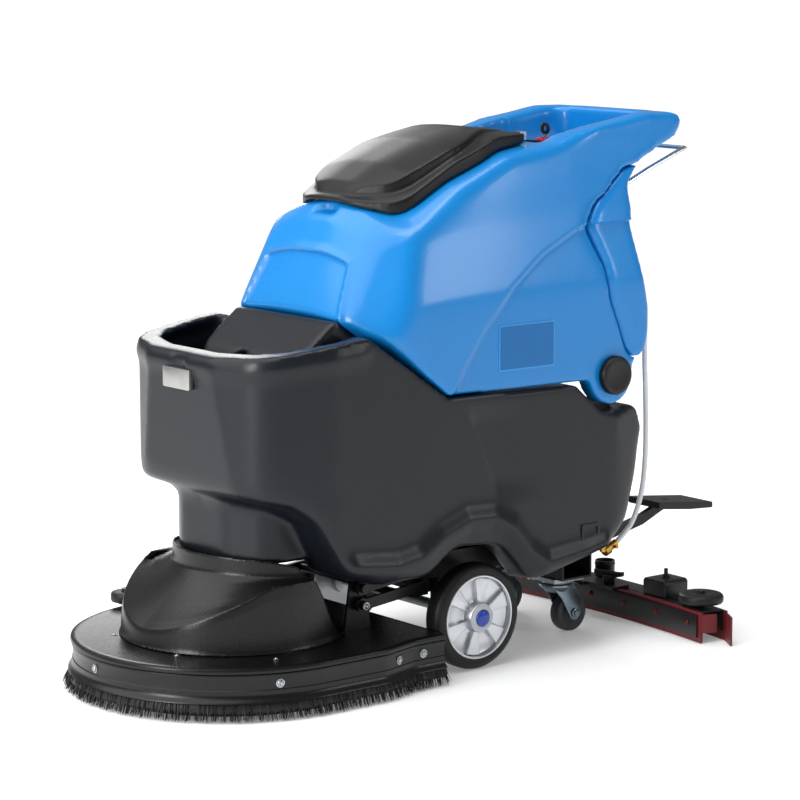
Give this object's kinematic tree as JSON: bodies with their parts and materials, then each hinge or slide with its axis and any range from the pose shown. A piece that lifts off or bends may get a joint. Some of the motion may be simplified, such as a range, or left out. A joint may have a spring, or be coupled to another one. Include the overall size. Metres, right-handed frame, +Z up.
{
  "type": "walk-behind floor scrubber dryer",
  "caption": "Walk-behind floor scrubber: round brush deck in front, solution tank, tilting recovery tank with lid and handle loop, rear squeegee on casters.",
  "frame": {"origin": "on the floor under the middle of the machine's length and width", "axes": "+Z up, -Y towards the brush deck and direction of travel, +X towards the machine's left side"},
  "size_m": [0.78, 1.3426, 1.013],
  "materials": {
    "charcoal_polyethylene": "rotomoulded orange-peel grain",
    "blue_polyethylene": "rotomoulded satin",
    "black_plastic": "fine grained",
    "battery_case": "smooth moulded",
    "black_rubber": "satin",
    "tyre_rubber": "solid tyre, satin",
    "caster_rubber": "satin",
    "hub_aluminium": "die cast, silver",
    "black_steel": "satin powder coat",
    "zinc_steel": "zinc plated",
    "chrome_wire": "bright",
    "red_urethane": "satin",
    "black_bristle": "nylon filament",
    "brass": "machined",
    "clear_tube": "translucent PVC",
    "switch_collar": "moulded",
    "float_plastic": "natural"
  },
  "bodies": {
    "chassis": {"solution_tank": "charcoal_polyethylene", "batteries": "battery_case", "chassis_plate": "black_steel", "chassis_frame": "black_steel", "chassis_brackets": "black_steel", "wheel_axle": "zinc_steel", "caster_plates": "zinc_steel", "electronics_box": "black_plastic", "solution_valve": "black_steel", "tilt_brackets": "black_steel", "level_tube": "clear_tube", "drain_fitting": "brass", "swing_pin": "zinc_steel"},
    "recovery": {"recovery_tank": "blue_polyethylene", "rear_cover": "blue_polyethylene", "pivot_caps": "black_plastic", "vacuum_motor": "black_steel", "float_cage": "float_plastic", "control_panel": "black_plastic", "key_switch": "switch_collar", "lid_hinge": "zinc_steel", "bail_blocks": "black_steel"},
    "lid": {"lid": "black_plastic"},
    "key": {"key": "black_plastic"},
    "brush_switch": {"brush_switch": "black_plastic"},
    "vacuum_switch": {"vacuum_switch": "black_plastic"},
    "bail": {"bail": "chrome_wire"},
    "wheel_left": {"tyre_left": "tyre_rubber", "hub_left": "hub_aluminium"},
    "wheel_right": {"tyre_right": "tyre_rubber", "hub_right": "hub_aluminium"},
    "caster_left": {"caster_fork_left": "zinc_steel"},
    "caster_left_wheel": {"caster_wheel_left": "caster_rubber"},
    "caster_right": {"caster_fork_right": "zinc_steel"},
    "caster_right_wheel": {"caster_wheel_right": "caster_rubber"},
    "lower_links": {"lower_links": "black_steel"},
    "upper_links": {"upper_links": "black_steel"},
    "deck": {"deck_plate": "black_plastic", "deck_band": "black_plastic", "bristle_skirt": "black_bristle", "deck_hood": "black_plastic", "deck_bolts": "zinc_steel", "deck_brackets": "black_steel", "brush_motor": "black_steel"},
    "brush": {"brush_block": "black_plastic", "brush_bristles": "black_bristle"},
    "bumper": {"bumper_roller": "black_rubber"},
    "pedal": {"pedal": "black_plastic"},
    "squeegee_swing": {"swing_arm": "black_steel"},
    "squeegee": {"lift_arm": "black_steel", "squeegee_body": "black_steel", "front_blade": "red_urethane", "rear_blade": "red_urethane", "clamp_straps": "black_steel", "clamp_bolts": "zinc_steel", "squeegee_brackets": "black_steel"},
    "knob_left": {"wing_knob_left": "black_plastic"},
    "knob_right": {"wing_knob_right": "black_plastic"},
    "roller_left": {"squeegee_roller_left": "black_rubber"},
    "roller_right": {"squeegee_roller_right": "black_rubber"}
  },
  "joints": [
    {"name": "tank_tilt", "type": "hinge", "parent": "chassis", "child": "recovery", "pos_m": [0, 0.3607, 0.525], "axis": [-1, 0, 0], "range_deg": [0, 60], "deforming": ["level_tube"]},
    {"name": "lid_hinge", "type": "hinge", "parent": "recovery", "child": "lid", "pos_m": [0, 0.2437, 0.977], "axis": [-1, 0, 0], "range_deg": [0, 80]},
    {"name": "key_turn", "type": "hinge", "parent": "recovery", "child": "key", "pos_m": [0.058, 0.3377, 0.96], "axis": [0, 0, -1], "range_deg": [0, 90]},
    {"name": "brush_switch_rock", "type": "hinge", "parent": "recovery", "child": "brush_switch", "pos_m": [-0.07, 0.3377, 0.956], "axis": [1, 0, 0], "range_deg": [0, 14]},
    {"name": "vacuum_switch_rock", "type": "hinge", "parent": "recovery", "child": "vacuum_switch", "pos_m": [-0.03, 0.3377, 0.956], "axis": [1, 0, 0], "range_deg": [0, 14]},
    {"name": "bail_squeeze", "type": "hinge", "parent": "recovery", "child": "bail", "pos_m": [0, 0.4417, 0.876], "axis": [1, 0, 0], "range_deg": [0, 8], "stiffness_Nm_per_rad": 4, "springref_deg": -11.46},
    {"name": "wheel_left_spin", "type": "hinge", "parent": "chassis", "child": "wheel_left", "pos_m": [0.203, 0.0377, 0.1], "axis": [1, 0, 0], "continuous": true},
    {"name": "wheel_right_spin", "type": "hinge", "parent": "chassis", "child": "wheel_right", "pos_m": [-0.203, 0.0377, 0.1], "axis": [1, 0, 0], "continuous": true},
    {"name": "caster_left_swivel", "type": "hinge", "parent": "chassis", "child": "caster_left", "pos_m": [0.095, 0.3427, 0.1], "axis": [0, 0, 1], "continuous": true},
    {"name": "caster_left_roll", "type": "hinge", "parent": "caster_left", "child": "caster_left_wheel", "pos_m": [0.095, 0.3747, 0.038], "axis": [1, 0, 0], "continuous": true},
    {"name": "caster_right_swivel", "type": "hinge", "parent": "chassis", "child": "caster_right", "pos_m": [-0.095, 0.3427, 0.1], "axis": [0, 0, 1], "continuous": true},
    {"name": "caster_right_roll", "type": "hinge", "parent": "caster_right", "child": "caster_right_wheel", "pos_m": [-0.095, 0.3747, 0.038], "axis": [1, 0, 0], "continuous": true},
    {"name": "deck_lift", "type": "hinge", "parent": "chassis", "child": "lower_links", "pos_m": [0, -0.0373, 0.158], "axis": [-1, 0, 0], "range_deg": [0, 17.8]},
    {"name": "deck_level", "type": "hinge", "parent": "lower_links", "child": "deck", "pos_m": [0, -0.1823, 0.142], "axis": [-1, 0, 0], "range_deg": [-17.8, 0]},
    {"name": "upper_link_turn", "type": "hinge", "parent": "chassis", "child": "upper_links", "pos_m": [0, -0.0373, 0.19], "axis": [-1, 0, 0], "range_deg": [0, 17.8]},
    {"name": "brush_spin", "type": "hinge", "parent": "deck", "child": "brush", "pos_m": [0, -0.3653, 0.06], "axis": [0, 0, 1], "continuous": true},
    {"name": "bumper_spin", "type": "hinge", "parent": "deck", "child": "bumper", "pos_m": [-0.296, -0.4003, 0.11], "axis": [0, 0, 1], "continuous": true},
    {"name": "pedal_press", "type": "hinge", "parent": "chassis", "child": "pedal", "pos_m": [0, 0.3597, 0.18], "axis": [-1, 0, 0], "range_deg": [0, 12]},
    {"name": "squeegee_swing", "type": "hinge", "parent": "chassis", "child": "squeegee_swing", "pos_m": [0, 0.3677, 0.104], "axis": [0, 0, 1], "range_deg": [-20, 20]},
    {"name": "squeegee_lift", "type": "hinge", "parent": "squeegee_swing", "child": "squeegee", "pos_m": [0, 0.4227, 0.098], "axis": [1, 0, 0], "range_deg": [0, 14]},
    {"name": "knob_left_turn", "type": "hinge", "parent": "squeegee", "child": "knob_left", "pos_m": [0.061, 0.5147, 0.076], "axis": [0, 0, 1], "continuous": true},
    {"name": "knob_right_turn", "type": "hinge", "parent": "squeegee", "child": "knob_right", "pos_m": [-0.061, 0.5147, 0.076], "axis": [0, 0, 1], "continuous": true},
    {"name": "roller_left_spin", "type": "hinge", "parent": "squeegee", "child": "roller_left", "pos_m": [0.296, 0.5407, 0.078], "axis": [0, 0, 1], "continuous": true},
    {"name": "roller_right_spin", "type": "hinge", "parent": "squeegee", "child": "roller_right", "pos_m": [-0.296, 0.5407, 0.078], "axis": [0, 0, 1], "continuous": true}
  ],
  "couplings": [
    {"joint": "deck_level", "follows": "deck_lift", "ratio": -1},
    {"joint": "upper_link_turn", "follows": "deck_lift", "ratio": 1},
    {"joint": "pedal_press", "follows": "deck_lift", "ratio": 0.674}
  ]
}
